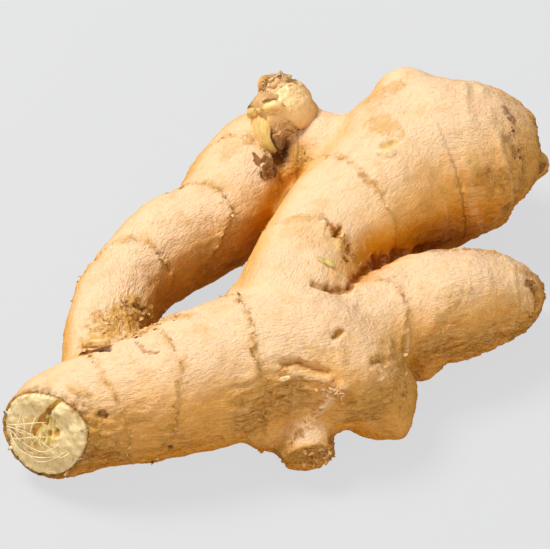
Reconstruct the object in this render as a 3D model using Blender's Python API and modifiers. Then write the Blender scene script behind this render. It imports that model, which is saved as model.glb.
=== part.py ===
"""A fresh ginger root: one rhizome hand, lying on a table.

A thick stem carries three fingers, a scaly bud and a broken stub. It all grew as one piece, so it is one
solid. +X runs along the hand from the cut end, +Z is up, and the origin is on the table, under the middle
of the hand's box. Lengths are in metres.
"""

import math
from collections import namedtuple

import bmesh
import bpy
from mathutils import Matrix, Vector

# Each limb's length, from the middle of its first cross-section to the middle of its last, and its thickest
# diameter.
STEM_LENGTH = 0.0760
STEM_THICKNESS = 0.0341
RIGHT_FINGER_LENGTH = 0.0562
RIGHT_FINGER_THICKNESS = 0.0284
UPPER_FINGER_LENGTH = 0.0877
UPPER_FINGER_THICKNESS = 0.0442
REAR_FINGER_LENGTH = 0.0795
REAR_FINGER_THICKNESS = 0.0296
BUD_LENGTH = 0.0129
BUD_THICKNESS = 0.0171
STUB_LENGTH = 0.0121
STUB_THICKNESS = 0.0141

# The flat ends: where they are, as a share of the end's radius, and the way they face.
CUT_END_SHARE = 0.52
CUT_END_FACES = Vector((-0.435, -0.812, 0.388))
STUB_END_SHARE = 0.30
STUB_END_FACES = Vector((0.15, -0.95, -0.20))

# The hand's lowest swellings are pressed flat where it lies on the table.
REST_FLAT_DEPTH = 0.0006

# How finely the skin is drawn, and how far the limbs melt into each other.
SKIN_GRAIN = 0.0013
MELT_ROUNDS = 14
FACET_SHARE = 0.16
TUBE_SIDES = 8

# A station is one cross-section of a limb: how far along its length, how far to its left as a share of that
# length, how high its underside is over the table, and its diameter as a share of the limb's thickness.
Station = namedtuple("Station", "along aside underside girth")

# A limb starts inside its parent, at a share of the parent's length and a share of its radius to the left.
# Its heading is the compass direction it grows in, in degrees from +X.
Limb = namedtuple("Limb", "parent root_along root_aside heading length thickness stations")

# A knob is a round swelling that stands proud of a limb's surface.
Knob = namedtuple("Knob", "limb along towards proud radius")

STEM_START = Vector((-0.0552, -0.0455))

LIMBS = {
    "stem": Limb(None, 0, 0, 7.9, STEM_LENGTH, STEM_THICKNESS, (
        Station(0.00, 0.00, 0.0000, 0.75),
        Station(0.08, 0.02, 0.0000, 0.80),
        Station(0.17, 0.03, 0.0000, 0.86),
        Station(0.29, 0.04, 0.0000, 0.92),
        Station(0.48, 0.08, 0.0000, 0.98),
        Station(0.66, 0.12, 0.0000, 1.00),
        Station(0.83, 0.09, 0.0000, 0.97),
        Station(0.94, 0.03, 0.0000, 0.81),
        Station(1.00, 0.00, 0.0000, 0.59),
    )),
    "right_finger": Limb("stem", 0.87, 0.36, 27.7, RIGHT_FINGER_LENGTH, RIGHT_FINGER_THICKNESS, (
        Station(0.00, 0.00, 0.0030, 0.93),
        Station(0.32, 0.05, 0.0020, 0.94),
        Station(0.56, 0.03, 0.0010, 1.00),
        Station(0.75, 0.00, 0.0010, 0.92),
        Station(0.90, -0.02, 0.0020, 0.73),
        Station(1.00, 0.00, 0.0040, 0.42),
    )),
    "upper_finger": Limb("stem", 0.76, 0.88, 41.6, UPPER_FINGER_LENGTH, UPPER_FINGER_THICKNESS, (
        Station(0.00, 0.00, 0.0060, 0.65),
        Station(0.25, 0.12, 0.0040, 0.70),
        Station(0.46, 0.15, 0.0010, 0.88),
        Station(0.66, 0.16, 0.0000, 1.00),
        Station(0.75, 0.11, 0.0010, 0.98),
        Station(0.84, 0.07, 0.0030, 0.83),
        Station(0.91, 0.04, 0.0050, 0.57),
        Station(1.00, 0.00, 0.0100, 0.18),
    )),
    "rear_finger": Limb("stem", 0.16, 1.01, 62.1, REAR_FINGER_LENGTH, REAR_FINGER_THICKNESS, (
        Station(0.00, 0.00, 0.0020, 0.68),
        Station(0.12, 0.06, 0.0020, 0.71),
        Station(0.34, 0.11, 0.0010, 0.74),
        Station(0.53, 0.08, 0.0000, 0.86),
        Station(0.70, 0.01, 0.0000, 0.88),
        Station(0.87, -0.01, 0.0000, 1.00),
        Station(1.00, 0.00, 0.0000, 0.96),
    )),
    "bud": Limb("upper_finger", 0.43, 1.40, 121.3, BUD_LENGTH, BUD_THICKNESS, (
        Station(0.00, 0.00, 0.0160, 0.85),
        Station(0.57, -0.09, 0.0200, 1.00),
        Station(0.86, -0.06, 0.0270, 0.79),
        Station(1.00, 0.00, 0.0320, 0.48),
    )),
    "stub": Limb("stem", 0.75, -0.50, -80.3, STUB_LENGTH, STUB_THICKNESS, (
        Station(0.00, 0.00, 0.0060, 1.00),
        Station(0.53, 0.03, 0.0025, 1.00),
        Station(1.00, 0.00, 0.0012, 0.96),
    )),
}

KNOBS = {
    "crown": Knob("upper_finger", 0.66, Vector((-0.18, 0.72, 0.67)), 0.0040, 0.0098),
    "shoulder": Knob("upper_finger", 0.51, Vector((-0.75, 0.65, 0.15)), 0.0104, 0.0103),
    "tip_belly": Knob("upper_finger", 0.83, Vector((-0.15, -0.55, -0.82)), 0.0022, 0.0110),
    "neck": Knob("stem", 0.66, Vector((-0.24, 0.95, 0.20)), 0.0055, 0.0082),
    "lobe": Knob("stem", 0.99, Vector((0.60, -0.59, -0.45)), 0.0024, 0.0055),
    "stub_foot": Knob("stem", 0.60, Vector((0.28, -0.83, -0.49)), 0.0041, 0.0052),
    "swelling": Knob("right_finger", 0.41, Vector((0.28, -0.70, -0.66)), 0.0033, 0.0048),
}


def root_of(name):
    """The place on the table, seen from above, where a limb starts."""
    limb = LIMBS[name]
    if limb.parent is None:
        return STEM_START
    centre, radius = point_along(limb.parent, limb.root_along)
    heading = math.radians(LIMBS[limb.parent].heading)
    left = Vector((-math.sin(heading), math.cos(heading)))
    return centre.xy + left * radius * limb.root_aside


def section_at(name, station):
    """(centre, radius) of one of a limb's stations."""
    limb = LIMBS[name]
    heading = math.radians(limb.heading)
    ahead = Vector((math.cos(heading), math.sin(heading)))
    left = Vector((-ahead.y, ahead.x))
    flat = root_of(name) + (ahead * station.along + left * station.aside) * limb.length
    radius = limb.thickness * station.girth / 2
    return Vector((flat.x, flat.y, station.underside + radius)), radius


def point_along(name, along):
    """(centre, radius) of a limb at this share of its length, straight between its stations."""
    stations = LIMBS[name].stations
    for low, high in zip(stations, stations[1:]):
        if along <= high.along:
            break
    share = (along - low.along) / (high.along - low.along)
    start, thin = section_at(name, low)
    end, thick = section_at(name, high)
    return start.lerp(end, share), thin + (thick - thin) * share


def add_ball(shape, centre, radius):
    bmesh.ops.create_uvsphere(
        shape, u_segments=24, v_segments=14, radius=radius, matrix=Matrix.Translation(centre)
    )


def add_limb(shape, name):
    """A tube of changing radius on a smooth curve through the limb's stations, with a ball at each end."""
    sections = [section_at(name, station) for station in LIMBS[name].stations]
    curve = bpy.data.curves.new(name, "CURVE")
    curve.dimensions = "3D"
    curve.bevel_depth = 1.0
    curve.bevel_resolution = TUBE_SIDES
    curve.use_fill_caps = True
    spline = curve.splines.new("BEZIER")
    spline.radius_interpolation = "CARDINAL"
    spline.bezier_points.add(len(sections) - 1)
    for point, (centre, radius) in zip(spline.bezier_points, sections):
        point.co = centre
        point.radius = radius
        point.handle_left_type = "AUTO"
        point.handle_right_type = "AUTO"
    tube = bpy.data.objects.new(name, curve)
    bpy.context.scene.collection.objects.link(tube)
    evaluated = tube.evaluated_get(bpy.context.evaluated_depsgraph_get())
    shape.from_mesh(bpy.data.meshes.new_from_object(evaluated))
    bpy.data.objects.remove(tube)
    add_ball(shape, *sections[0])
    add_ball(shape, *sections[-1])


def add_knob(shape, knob):
    centre, radius = point_along(knob.limb, knob.along)
    out = radius + knob.proud - knob.radius
    add_ball(shape, centre + knob.towards.normalized() * out, knob.radius)


def skin_material():
    material = bpy.data.materials.new("ginger_skin")
    material.use_nodes = True
    shader = material.node_tree.nodes["Principled BSDF"]
    shader.inputs["Base Color"].default_value = (0.72, 0.48, 0.23, 1.0)
    shader.inputs["Roughness"].default_value = 0.62
    shader.inputs["Metallic"].default_value = 0.0
    return material


def add_cutter(name, size, centre, facing, cutters):
    """A box whose face lies at centre, and which takes away all that is on the facing side of it."""
    mesh = bpy.data.meshes.new(name)
    shape = bmesh.new()
    bmesh.ops.create_cube(shape, size=size, matrix=Matrix.Translation((0, 0, size / 2)))
    shape.to_mesh(mesh)
    shape.free()
    cutter = bpy.data.objects.new(name, mesh)
    cutter.location = centre
    cutter.rotation_mode = "QUATERNION"
    cutter.rotation_quaternion = facing.to_track_quat("Z", "Y")
    cutter.hide_render = True
    cutter.display_type = "WIRE"
    cutters.objects.link(cutter)
    return cutter


def cut_away(target, cutter):
    boolean = target.modifiers.new(cutter.name, "BOOLEAN")
    boolean.operation = "DIFFERENCE"
    boolean.solver = "EXACT"
    boolean.object = cutter


def build_root(collection, cutters):
    shape = bmesh.new()
    for name in LIMBS:
        add_limb(shape, name)
    for knob in KNOBS.values():
        add_knob(shape, knob)
    bmesh.ops.remove_doubles(shape, verts=shape.verts, dist=1e-6)
    bmesh.ops.recalc_face_normals(shape, faces=shape.faces)
    mesh = bpy.data.meshes.new("ginger_root")
    shape.to_mesh(mesh)
    shape.free()
    mesh.materials.append(skin_material())
    root = bpy.data.objects.new("ginger_root", mesh)
    collection.objects.link(root)

    one_skin = root.modifiers.new("one_skin", "REMESH")
    one_skin.mode = "VOXEL"
    one_skin.voxel_size = SKIN_GRAIN
    melt_joins = root.modifiers.new("melt_joins", "SMOOTH")
    melt_joins.factor = 0.5
    melt_joins.iterations = MELT_ROUNDS
    facets = root.modifiers.new("facets", "DECIMATE")
    facets.ratio = FACET_SHARE

    # The knife's cut across the stem, the break across the stub, and the flats it rests on.
    centre, radius = point_along("stem", 0.0)
    facing = CUT_END_FACES.normalized()
    cut_away(root, add_cutter("stem_end", 0.08, centre + facing * radius * CUT_END_SHARE, facing, cutters))
    centre, radius = point_along("stub", 1.0)
    facing = STUB_END_FACES.normalized()
    cut_away(root, add_cutter("stub_end", 0.03, centre + facing * radius * STUB_END_SHARE, facing, cutters))
    table = Vector((0, 0, REST_FLAT_DEPTH))
    cut_away(root, add_cutter("table", 0.4, table, Vector((0, 0, -1)), cutters))
    return root


def centre_on_table(root, things):
    """Moves all the things so that the middle of the root's underside box is the origin."""
    evaluated = root.evaluated_get(bpy.context.evaluated_depsgraph_get())
    points = [vertex.co for vertex in evaluated.data.vertices]
    low = Vector(min(point[axis] for point in points) for axis in range(3))
    high = Vector(max(point[axis] for point in points) for axis in range(3))
    middle = (low + high) / 2
    for thing in things:
        thing.location -= Vector((middle.x, middle.y, low.z))


def main():
    for old in list(bpy.data.objects):
        bpy.data.objects.remove(old)
    collection = bpy.data.collections.new("ginger_root")
    cutters = bpy.data.collections.new("cutters")
    bpy.context.scene.collection.children.link(collection)
    bpy.context.scene.collection.children.link(cutters)
    root = build_root(collection, cutters)
    bpy.context.view_layer.update()
    centre_on_table(root, [root, *cutters.objects])


main()
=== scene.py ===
"""A fresh ginger root lying on a pale table: the skin and all that grows or flakes on it."""

import math
import random

import bpy
import numpy as np
from mathutils import Matrix, Vector
from mathutils.bvhtree import BVHTree
from mathutils.kdtree import KDTree


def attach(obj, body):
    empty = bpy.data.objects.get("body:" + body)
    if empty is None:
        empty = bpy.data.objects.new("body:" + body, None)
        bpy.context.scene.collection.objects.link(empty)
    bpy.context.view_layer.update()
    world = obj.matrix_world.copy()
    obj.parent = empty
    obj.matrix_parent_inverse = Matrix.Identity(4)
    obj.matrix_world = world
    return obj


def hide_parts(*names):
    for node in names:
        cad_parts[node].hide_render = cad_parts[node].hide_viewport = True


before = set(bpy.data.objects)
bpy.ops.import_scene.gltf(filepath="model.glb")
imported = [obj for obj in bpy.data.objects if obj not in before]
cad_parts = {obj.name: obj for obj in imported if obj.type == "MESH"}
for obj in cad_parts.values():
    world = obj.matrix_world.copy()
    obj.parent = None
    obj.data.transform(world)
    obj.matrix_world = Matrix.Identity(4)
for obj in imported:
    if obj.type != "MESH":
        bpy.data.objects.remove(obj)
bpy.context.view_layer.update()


# --- The table, the camera and the light ---
# A pale matt table top, seen from 45 degrees above, which glows faintly so that the root's shadow stays soft.
# A soft lamp stands high on the left, a little behind the root, and two dimmer ones fill in from low in front.

MM = 0.001
LOOK_AT = Vector((-4.4, -3.5, 19.4)) * MM
CAMERA_DISTANCE = 505.3 * MM
CAMERA_RISE = math.radians(45)
CAMERA_LENS = 135.0
TABLE_GREY = (0.11, 0.11, 0.11, 1.0)
TABLE_GLOW = (0.96, 0.975, 1.0, 1.0)
TABLE_GLOW_STRENGTH = 0.66

bpy.ops.object.select_all(action="DESELECT")
bpy.ops.mesh.primitive_plane_add(size=8.0, location=(0, 0, 0))
table_top = bpy.context.object
table_top.name = "table_top"
table_finish = bpy.data.materials.new("pale_table")
table_finish.use_nodes = True
table_sockets = table_finish.node_tree.nodes["Principled BSDF"].inputs
table_sockets["Base Color"].default_value = TABLE_GREY
table_sockets["Roughness"].default_value = 0.9
table_sockets["Specular IOR Level"].default_value = 0.0
table_sockets["Emission Color"].default_value = TABLE_GLOW
table_sockets["Emission Strength"].default_value = TABLE_GLOW_STRENGTH
table_top.visible_diffuse = False
table_top.visible_glossy = False
table_top.data.materials.append(table_finish)

back_and_up = Vector((0, -math.cos(CAMERA_RISE), math.sin(CAMERA_RISE)))
bpy.ops.object.camera_add(location=LOOK_AT + back_and_up * CAMERA_DISTANCE)
camera = bpy.context.object
camera.rotation_euler = (math.pi / 2 - CAMERA_RISE, 0, 0)
camera.data.lens = CAMERA_LENS
camera.data.clip_start = 0.01
bpy.context.scene.camera = camera


def add_lamp(name, towards, distance, size, power, colour):
    """A square soft lamp, aimed at the root from the given side."""
    direction = Vector(towards).normalized()
    bpy.ops.object.light_add(type="AREA", location=LOOK_AT + direction * distance)
    lamp = bpy.context.object
    lamp.name = name
    lamp.rotation_euler = direction.to_track_quat("Z", "Y").to_euler()
    lamp.data.size = size
    lamp.data.energy = power
    lamp.data.color = colour


add_lamp("high_left_lamp", (-0.47, 0.31, 0.85), 1.2, 0.45, 15.6, (1.0, 0.98, 0.94))
add_lamp("front_fill_lamp", (-0.45, -0.80, 0.35), 1.5, 0.8, 3.3, (1.0, 0.91, 0.75))
add_lamp("right_fill_lamp", (0.50, -0.82, 0.15), 1.5, 0.8, 9.4, (1.0, 0.92, 0.78))

# The room is evenly pale above the table and a warm tan below it, so the root's undersides glow warm.
ROOM_BELOW = (0.90, 0.58, 0.28, 1.0)
ROOM_ABOVE = (1.0, 0.90, 0.76, 1.0)
ROOM_STRENGTH = 0.32
room = bpy.data.worlds.new("pale_room")
bpy.context.scene.world = room
room.use_nodes = True
room_nodes = room.node_tree.nodes
room_light = room_nodes["Background"].inputs
room_light["Strength"].default_value = ROOM_STRENGTH
direction = room_nodes.new("ShaderNodeTexCoord")
height = room_nodes.new("ShaderNodeSeparateXYZ")
blend = room_nodes.new("ShaderNodeValToRGB")
for stop, position, colour in zip(blend.color_ramp.elements, (0.0, 0.12), (ROOM_BELOW, ROOM_ABOVE)):
    stop.position = position
    stop.color = colour
room.node_tree.links.new(direction.outputs["Generated"], height.inputs[0])
room.node_tree.links.new(height.outputs["Z"], blend.inputs["Fac"])
room.node_tree.links.new(blend.outputs["Color"], room_light["Color"])
bpy.context.scene.view_settings.view_transform = "Standard"


# --- The skin ---
# One papery skin covers the whole rhizome. It is ringed where each leaf once sat, wrinkled lengthwise from
# drying, and scarred. It starts as the solid's own surface, remeshed finely, and is then shaped in place.

# The middle of each branch, in mm, from where it starts to its tip, with the branch's radius there.
BRANCHES = {
    "stem": (
        (-62.0, -49.0, 11.5, 12.0), (-55.2, -45.5, 12.2, 12.8), (-42.7, -41.5, 14.1, 14.7),
        (-33.8, -39.5, 15.1, 15.7), (-19.9, -34.5, 16.1, 16.7), (-6.8, -29.6, 16.4, 17.1),
        (8.0, -25.5, 16.0, 16.5), (23.4, -14.9, 14.7, 13.5), (35.9, -9.7, 14.6, 14.2),
        (46.1, -6.2, 13.5, 13.1), (54.1, -3.3, 11.8, 10.4), (60.0, 0.5, 9.6, 6.0),
    ),
    "upper": (
        (-1.1, -15.3, 19.8, 14.4), (8.3, 7.1, 18.9, 15.5), (20.3, 21.3, 19.8, 19.4),
        (32.9, 33.6, 21.5, 22.1), (41.7, 35.6, 22.1, 21.7), (49.9, 38.2, 20.7, 18.3),
        (56.2, 40.3, 17.0, 12.6), (66.0, 43.0, 14.0, 4.0),
    ),
    "rear": (
        (-45.5, -27.1, 11.5, 10.1), (-45.3, -16.5, 11.9, 10.5), (-40.6, 0.8, 11.4, 11.0),
        (-31.4, 13.1, 12.1, 12.7), (-20.2, 22.4, 12.4, 13.0), (-12.4, 33.6, 14.2, 14.8),
        (-8.3, 43.1, 13.6, 14.2), (-6.0, 52.0, 13.5, 12.0),
    ),
}

# The width of a facet of the skin in mm, and the knife's cut: its middle, the way it faces and its reach.
SKIN_MESH = 0.63
CUT_MIDDLE = Vector((-57.5, -51.1, 15.2))
CUT_FACES = Vector((-0.435, -0.812, 0.388)).normalized()
CUT_RADIUS = 14.0


def smooth_route(points, steps=14):
    """A smooth curve through the points, as closely spaced rows of x, y, z and radius."""
    points = np.array(points, float)
    ends = np.vstack([2 * points[0] - points[1], points, 2 * points[-1] - points[-2]])
    rows = []
    for before, here, there, after in zip(ends, ends[1:], ends[2:], ends[3:]):
        for t in np.arange(steps) / steps:
            bend = 2 * before - 5 * here + 4 * there - after
            twist = 3 * here - before - 3 * there + after
            rows.append(here + 0.5 * ((there - before) * t + bend * t**2 + twist * t**3))
    rows.append(points[-1])
    return np.array(rows)


def place_on_branch(points, name):
    """Each point's mm along the branch, mm to its left, mm above its middle, and share of its radius out."""
    route = smooth_route(BRANCHES[name])
    line, radii = route[:, :3], route[:, 3]
    legs = line[1:] - line[:-1]
    lengths = np.linalg.norm(legs, axis=1)
    starts = np.concatenate([[0], np.cumsum(lengths)])
    nearest = np.full(len(points), 1e9)
    place = np.zeros((len(points), 4))
    for index, leg in enumerate(legs):
        ahead = leg / lengths[index]
        left = np.cross((0, 0, 1), ahead)
        left /= np.linalg.norm(left)
        offset = points - line[index]
        along = np.clip(offset @ ahead, 0, lengths[index])
        offset = offset - along[:, None] * ahead
        distance = np.linalg.norm(offset, axis=1)
        closer = distance < nearest
        nearest[closer] = distance[closer]
        radius = radii[index] + (radii[index + 1] - radii[index]) * along / lengths[index]
        rows = np.stack(
            [starts[index] + along, offset @ left, offset @ np.cross(ahead, left), distance / radius], axis=1
        )
        place[closer] = rows[closer]
    return place


def grain(points, size, seed):
    """Smooth noise from about -1 to 1 at each point; size is a lump's width along each axis, in mm."""
    cells = 32
    lattice = np.random.default_rng(seed).uniform(-1, 1, (cells, cells, cells))
    scaled = points / np.asarray(size, float)
    cell = np.floor(scaled).astype(int)
    part = scaled - cell
    part = part * part * (3 - 2 * part)
    total = np.zeros(len(points))
    for corner in np.ndindex(2, 2, 2):
        weight = np.prod(np.where(corner, part, 1 - part), axis=1)
        index = (cell + corner) % cells
        total += weight * lattice[index[:, 0], index[:, 1], index[:, 2]]
    return total * 1.6


def rise(values, low, high):
    """0 below low, 1 above high, and smooth between."""
    share = np.clip((values - low) / (high - low), 0, 1)
    return share * share * (3 - 2 * share)


def bring_in(name, mesh):
    """A new object of the mesh, with no material yet, and the only one selected."""
    bpy.ops.object.select_all(action="DESELECT")
    piece = bpy.data.objects.new(name, mesh)
    bpy.context.scene.collection.objects.link(piece)
    bpy.context.view_layer.objects.active = piece
    piece.select_set(True)
    piece.data.materials.clear()
    return piece


def finish_with(piece, kind, **settings):
    """Gives the piece a modifier with its settings, and applies it."""
    modifier = piece.modifiers.new(kind.lower(), kind)
    for name, setting in settings.items():
        setattr(modifier, name, setting)
    bpy.ops.object.modifier_apply(modifier=modifier.name)


def read_points(mesh, what="co"):
    """The mesh's points, or their normals, as rows of x, y and z."""
    flat = np.zeros(len(mesh.vertices) * 3)
    mesh.vertices.foreach_get(what, flat)
    return flat.reshape(-1, 3)


def write_points(mesh, points):
    """Moves the mesh's points to the rows of x, y and z, in mm."""
    mesh.vertices.foreach_set("co", (points * MM).ravel())


skin = bring_in("ginger_skin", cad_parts["ginger_root"].data.copy())
bpy.ops.object.mode_set(mode="EDIT")
bpy.ops.mesh.select_all(action="SELECT")
bpy.ops.mesh.remove_doubles(threshold=1e-5)
bpy.ops.object.mode_set(mode="OBJECT")
finish_with(skin, "REMESH", mode="VOXEL", voxel_size=SKIN_MESH * MM)

# The facets are smoothed out, but the knife's cut and the flats under the root stay as they are.
points = read_points(skin.data) / MM
off_cut = (points - CUT_MIDDLE) @ CUT_FACES
on_cut = (abs(off_cut) < 0.1) & (np.linalg.norm(points - CUT_MIDDLE, axis=1) < CUT_RADIUS)
free = skin.vertex_groups.new(name="free_to_smooth")
free.add(np.nonzero(~on_cut)[0].tolist(), 1.0, "REPLACE")
finish_with(skin, "SMOOTH", factor=0.5, iterations=16, vertex_group=free.name)
skin.vertex_groups.clear()

points = read_points(skin.data) / MM
normals = read_points(skin.data, "normal")
places = {name: place_on_branch(points, name) for name in BRANCHES}
pull = {name: np.exp(-6 * place[:, 3] ** 2) for name, place in places.items()}
finger_share = (pull["upper"] + pull["rear"]) / (pull["stem"] + pull["upper"] + pull["rear"] + 1e-9)
nearer_upper = pull["upper"] > pull["rear"]
finger_place = np.where(nearer_upper[:, None], places["upper"], places["rear"])

# A ring is where a leaf sat: mm along its branch, how far it leans forward at the top and swings forward
# on the left, which way round it is centred and how far it reaches in degrees, its height in mm, and how
# dark its edge is, or below zero how pale.
RINGS = (
    ("stem", 18.6, -0.14, 0.29, 120, 75, 0.15, 0.40),
    ("stem", 31.2, -0.37, -0.03, 120, 180, 0.40, 0.65),
    ("stem", 53.1, -0.10, -0.04, 120, 180, 0.45, 0.90),
    ("stem", 72.3, -1.55, 0.40, 130, 60, 0.35, 0.55),
    ("stem", 89.2, 0.66, -0.71, 110, 45, 0.30, -0.60),
    ("stem", 113.8, -0.02, 0.06, 120, 180, 0.22, -0.50),
    ("stem", 121.5, -0.06, -0.10, 120, 180, 0.22, -0.50),
    ("upper", 11.6, -0.37, 0.00, 120, 100, 0.35, 0.80),
    ("upper", 33.4, -0.24, -0.10, 120, 180, 0.35, 0.45),
    ("upper", 49.7, -0.05, -0.05, 150, 60, 0.12, -0.30),
    ("upper", 72.8, 0.10, -0.14, 120, 180, 0.30, -0.80),
    ("upper", 79.2, 0.26, -0.10, 120, 180, 0.30, -0.80),
    ("rear", 25.0, -0.78, 0.41, 120, 180, 0.40, 0.90),
    ("rear", 43.9, -1.23, 0.22, 120, 180, 0.45, 1.00),
    ("rear", 65.4, -0.67, -0.12, 120, 180, 0.30, 0.60),
)
# The skin swells up to a brown ring over one length, in mm, and is a little sunk behind it over another. A
# pale ring is a low even ridge.
RING_SWELL = 1.8
RING_SINK = 0.9
PALE_RIDGE = 0.7

share_of = {
    "stem": 1 - finger_share,
    "upper": finger_share * nearer_upper,
    "rear": finger_share * ~nearer_upper,
}
wobble = 0.8 * grain(points, 5.0, 1) + 0.5 * grain(points, 1.9, 2) + 0.30 * grain(points, 0.9, 3)
ring_gap = np.full(len(points), 20.0)
ring_dark = np.zeros(len(points))
lift = np.zeros(len(points))
for branch, along, lean, swing, round_at, reach, height, dark in RINGS:
    place = places[branch]
    gap = place[:, 0] - along + lean * place[:, 2] + swing * place[:, 1]
    gap += wobble * (1.0 if dark > 0 else 0.35)
    gap /= math.hypot(1, math.hypot(lean, swing))
    angle = np.degrees(np.arctan2(place[:, 2], place[:, 1]))
    aside = abs((angle - round_at + 180) % 360 - 180)
    near = rise(share_of[branch], 0.35, 0.65) * rise(-abs(place[:, 0] - along), -26, -18)
    if reach < 180:
        near *= rise(-aside, -reach, 12 - reach)
    strength = near * np.clip(1 + 0.9 * grain(points, 3.0, int(along)), 0.15, 1.8)
    if dark > 0:
        behind = -0.25 * np.exp(-gap / RING_SINK)
        lift += 0.75 * height * strength * np.where(gap < 0, np.exp(gap / RING_SWELL), behind)
    else:
        lift += height * strength * np.exp(-((gap / PALE_RIDGE) ** 2))
    nearer = (abs(gap) < abs(ring_gap)) & (near > 0.1)
    ring_gap[nearer] = gap[nearer]
    ring_dark[nearer] = (dark * near)[nearer]

# Lengthwise wrinkles from drying: short and broken, strongest low on the stem and along the sides. For each
# kind: its width, length and height in mm, and its seed. Then the soft lumps: height, width and seed.
WRINKLES = ((2.3, 8.0, 0.60, 11), (1.25, 4.5, 1.00, 12), (0.9, 2.4, 0.42, 13))
LUMPS = ((0.45, 13.0, 31), (0.25, 6.0, 32), (0.10, 2.2, 33), (0.05, 1.2, 34))


def streaks(place, across, along, seed):
    """Noise drawn out along a branch, and bent a little aside."""
    warped = place[:, :3] + 0.9 * np.stack([grain(place[:, :3], 5.0, seed + k) for k in (60, 61, 62)], axis=1)
    return grain(warped, (along, across, across), seed)


facing_up = normals[:, 2]
patchy = rise(grain(points, 9.0, 41), -0.6, 0.5)
dryness = np.clip(0.85 - 0.95 * facing_up + 0.30 * grain(points, 12.0, 5), 0.05, 1.0)
dryness *= (0.7 + 0.3 * (1 - finger_share)) * (0.45 + 0.55 * rise(facing_up, -0.8, 0.0))
for across, along, height, seed in WRINKLES:
    stem_streaks = streaks(places["stem"], across, along, seed)
    finger_streaks = streaks(finger_place, across, along, seed + 20)
    mixed = stem_streaks * (1 - finger_share) + finger_streaks * 0.7 * finger_share
    lift += height * dryness * (0.35 + 0.65 * patchy) * (0.35 - abs(mixed))
for height, width, seed in LUMPS:
    lift += height * grain(points, width, seed)

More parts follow.
